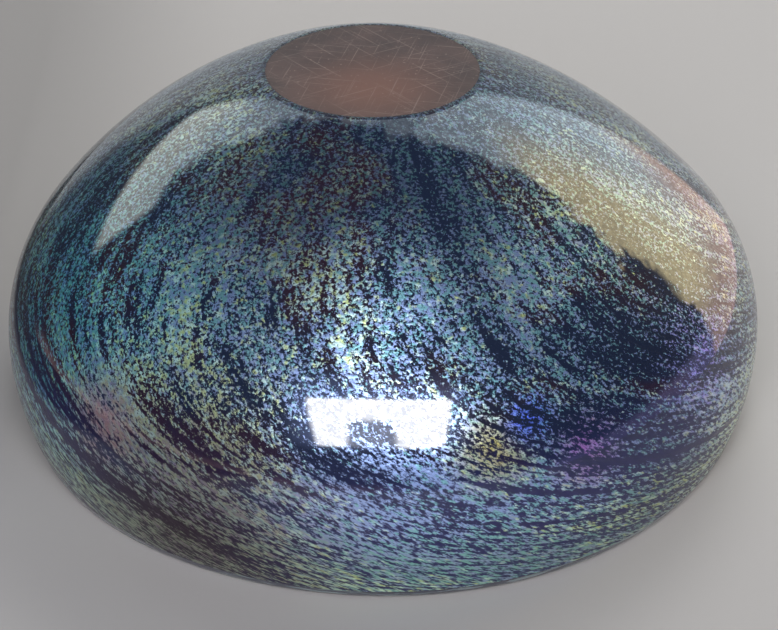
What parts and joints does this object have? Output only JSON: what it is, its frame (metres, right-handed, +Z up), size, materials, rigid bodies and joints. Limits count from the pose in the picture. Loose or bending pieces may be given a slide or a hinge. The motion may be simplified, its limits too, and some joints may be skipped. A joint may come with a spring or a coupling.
{
  "type": "art glass bowl",
  "caption": "Round squat bowl of dark iridescent art glass with a flecked silver-blue casing, a fire-polished mouth and a ground flat base.",
  "frame": {"origin": "centre of the ground flat base, where the bowl stands", "axes": "+Z up out of the mouth along the axis the bowl is turned about; X and Y are any two level directions"},
  "size_m": [0.23, 0.23, 0.112],
  "materials": {
    "amber_glass": "dark amber-brown glass, polished inside and finely ground flat on the base",
    "iridised_frit": "glossy iridescent skin of fine silver, blue and green frit flecks over near-black glass",
    "lip_glass": "smooth fire-polished dark glass with drawn-out silver lines"
  },
  "bodies": {
    "root": {"amber_gather": "amber_glass", "frit_casing": "iridised_frit", "lip_bead": "lip_glass"}
  },
  "joints": []
}
